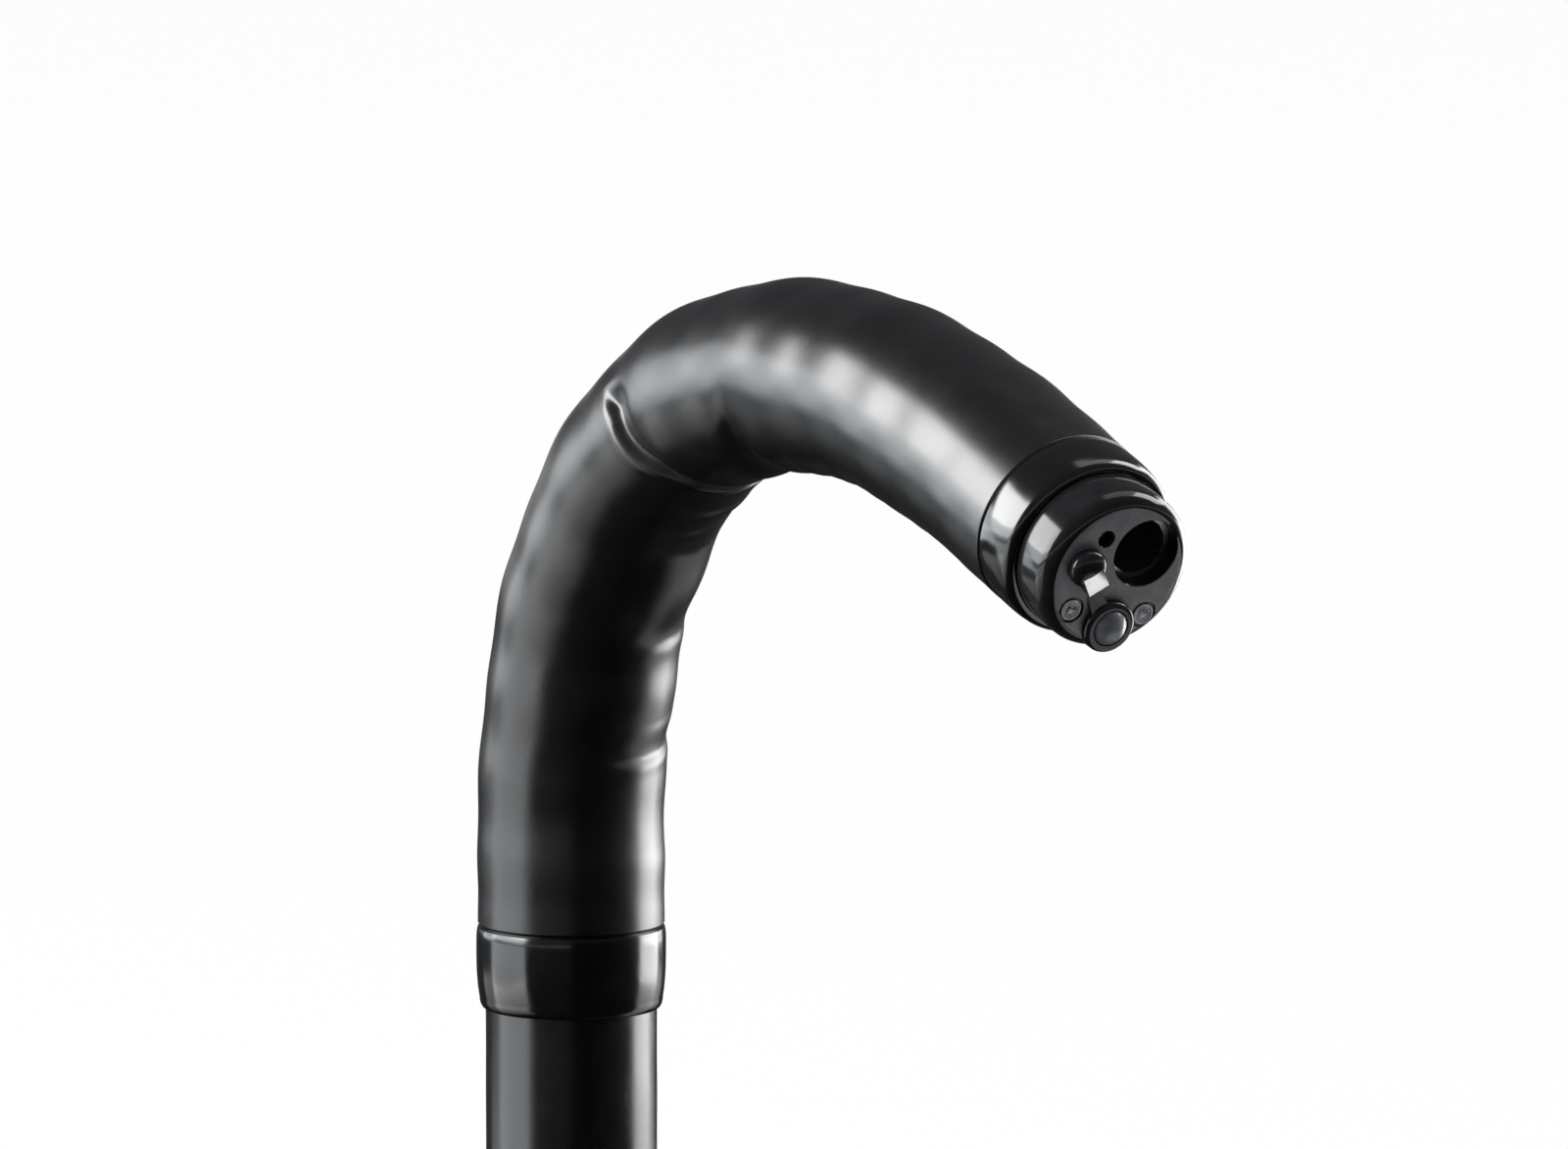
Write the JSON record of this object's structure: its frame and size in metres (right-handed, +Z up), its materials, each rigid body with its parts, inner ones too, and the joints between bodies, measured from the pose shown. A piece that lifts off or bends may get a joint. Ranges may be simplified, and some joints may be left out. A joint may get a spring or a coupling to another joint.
{
  "type": "flexible endoscope",
  "caption": "Bending end of a flexible endoscope: insertion tube, hinged ring chain under a rubber cover, and a tip with lens, lights, nozzle and channel.",
  "frame": {"origin": "centre of the end face of the lower ferrule, where the rest of the insertion tube joins", "axes": "+Z up along the insertion tube, +X the side that the bending section curls to at rest"},
  "size_m": [0.0554, 0.0092, 0.0577],
  "materials": {
    "cover_rubber": "smooth satin black",
    "tube_jacket": "gloss black",
    "band_epoxy": "high gloss black",
    "hood_plastic": "gloss dark grey",
    "steel": "turned stainless steel",
    "nozzle_steel": "polished stainless steel",
    "wire_braid": "woven stainless wire",
    "lens_glass": "polished and coated",
    "sensor_package": "matte",
    "cable_jacket": "matte",
    "tube_liner": "fluoropolymer white",
    "fibre_bundle": "sleeved glass fibre"
  },
  "bodies": {
    "insertion_tube": {"insertion_tube_jacket": "tube_jacket", "insertion_tube_braid": "wire_braid", "insertion_tube_coil": "steel", "distal_tube_ferrule": "steel", "proximal_ferrule": "steel", "wire_sheath_up": "steel", "wire_sheath_down": "steel", "wire_sheath_left": "steel", "wire_sheath_right": "steel", "base_coupling_ring": "steel", "proximal_binding_band": "band_epoxy", "bending_cover": "cover_rubber", "bending_braid": "wire_braid", "angulation_wire_up": "steel", "angulation_wire_down": "steel", "angulation_wire_left": "steel", "angulation_wire_right": "steel", "channel_tube": "tube_liner", "light_guide_left": "fibre_bundle", "light_guide_right": "fibre_bundle", "sensor_cable": "cable_jacket", "air_tube": "tube_liner", "water_tube": "tube_liner", "water_jet_tube": "tube_liner"},
    "ring_01": {"vertebra_01": "steel"},
    "ring_02": {"vertebra_02": "steel"},
    "ring_03": {"vertebra_03": "steel"},
    "ring_04": {"vertebra_04": "steel"},
    "ring_05": {"vertebra_05": "steel"},
    "ring_06": {"vertebra_06": "steel"},
    "ring_07": {"vertebra_07": "steel"},
    "ring_08": {"vertebra_08": "steel"},
    "ring_09": {"vertebra_09": "steel"},
    "ring_10": {"vertebra_10": "steel"},
    "ring_11": {"vertebra_11": "steel"},
    "ring_12": {"vertebra_12": "steel"},
    "ring_13": {"vertebra_13": "steel"},
    "distal_tip": {"distal_coupling_ring": "steel", "tip_block": "steel", "tip_hood": "hood_plastic", "objective_front_lens": "lens_glass", "objective_rear_lens": "lens_glass", "objective_barrel": "steel", "image_sensor": "sensor_package", "light_lens_left": "lens_glass", "light_lens_right": "lens_glass", "light_guide_ferrule_left": "steel", "light_guide_ferrule_right": "steel", "air_water_nozzle": "nozzle_steel", "air_water_manifold": "steel", "water_jet_pipe": "steel", "channel_pipe": "steel", "distal_binding_band": "band_epoxy"}
  },
  "joints": [
    {"name": "left_right_01", "type": "hinge", "parent": "insertion_tube", "child": "ring_01", "pos_m": [0, 0, 0.02721], "axis": [1, 0, 0], "range_deg": [-14.29, 14.29], "deforming": ["bending_cover", "bending_braid", "angulation_wire_up", "angulation_wire_down", "angulation_wire_left", "angulation_wire_right", "channel_tube", "light_guide_left", "light_guide_right", "sensor_cable", "air_tube", "water_tube", "water_jet_tube"]},
    {"name": "up_down_01", "type": "hinge", "parent": "ring_01", "child": "ring_02", "pos_m": [0, 0, 0.03141], "axis": [0, 1, 0], "range_deg": [-23.64, 11.82], "deforming": ["bending_cover", "bending_braid", "angulation_wire_up", "angulation_wire_down", "angulation_wire_left", "angulation_wire_right", "channel_tube", "light_guide_left", "light_guide_right", "sensor_cable", "air_tube", "water_tube", "water_jet_tube"]},
    {"name": "left_right_02", "type": "hinge", "parent": "ring_02", "child": "ring_03", "pos_m": [0.00094, 0, 0.0355], "axis": [0.9744, 0, -0.225], "range_deg": [-14.3, 14.3]},
    {"name": "up_down_02", "type": "hinge", "parent": "ring_03", "child": "ring_04", "pos_m": [0.00189, 0, 0.03959], "axis": [0, 1, 0], "range_deg": [-38.19, 19.1]},
    {"name": "left_right_03", "type": "hinge", "parent": "ring_04", "child": "ring_05", "pos_m": [0.00424, 0, 0.04308], "axis": [0.829, 0, -0.5592], "range_deg": [-14.3, 14.3]},
    {"name": "up_down_03", "type": "hinge", "parent": "ring_05", "child": "ring_06", "pos_m": [0.00659, 0, 0.04656], "axis": [0, 1, 0], "range_deg": [-40.01, 20.01]},
    {"name": "left_right_04", "type": "hinge", "parent": "ring_06", "child": "ring_07", "pos_m": [0.01007, 0, 0.04891], "axis": [0.5592, 0, -0.829], "range_deg": [-14.3, 14.3]},
    {"name": "up_down_04", "type": "hinge", "parent": "ring_07", "child": "ring_08", "pos_m": [0.01355, 0, 0.05126], "axis": [0, 1, 0], "range_deg": [-37.28, 18.65]},
    {"name": "left_right_05", "type": "hinge", "parent": "ring_08", "child": "ring_09", "pos_m": [0.01763, 0, 0.05224], "axis": [0.2334, 0, -0.9724], "range_deg": [-14.3, 14.3]},
    {"name": "up_down_05", "type": "hinge", "parent": "ring_09", "child": "ring_10", "pos_m": [0.02172, 0, 0.05322], "axis": [0, 1, 0], "range_deg": [-28.19, 14.1]},
    {"name": "left_right_06", "type": "hinge", "parent": "ring_10", "child": "ring_11", "pos_m": [0.02592, 0, 0.05307], "axis": [-0.0349, 0, -0.9994], "range_deg": [-14.3, 14.3]},
    {"name": "up_down_06", "type": "hinge", "parent": "ring_11", "child": "ring_12", "pos_m": [0.03011, 0, 0.05292], "axis": [0, 1, 0], "range_deg": [-20.01, 10.01]},
    {"name": "left_right_07", "type": "hinge", "parent": "ring_12", "child": "ring_13", "pos_m": [0.03421, 0, 0.05198], "axis": [-0.225, 0, -0.9744], "range_deg": [-14.3, 14.3]},
    {"name": "up_down_07", "type": "hinge", "parent": "ring_13", "child": "distal_tip", "pos_m": [0.0383, 0, 0.05103], "axis": [0, 1, 0], "range_deg": [-12.74, 6.37]}
  ],
  "couplings": [
    {"joint": "left_right_02", "follows": "left_right_01", "ratio": 1},
    {"joint": "up_down_02", "follows": "up_down_01", "ratio": 1.6154},
    {"joint": "left_right_03", "follows": "left_right_01", "ratio": 1},
    {"joint": "up_down_03", "follows": "up_down_01", "ratio": 1.6923},
    {"joint": "left_right_04", "follows": "left_right_01", "ratio": 1},
    {"joint": "up_down_04", "follows": "up_down_01", "ratio": 1.5769},
    {"joint": "left_right_05", "follows": "left_right_01", "ratio": 1},
    {"joint": "up_down_05", "follows": "up_down_01", "ratio": 1.1923},
    {"joint": "left_right_06", "follows": "left_right_01", "ratio": 1},
    {"joint": "up_down_06", "follows": "up_down_01", "ratio": 0.84615},
    {"joint": "left_right_07", "follows": "left_right_01", "ratio": 1},
    {"joint": "up_down_07", "follows": "up_down_01", "ratio": 0.53846}
  ]
}
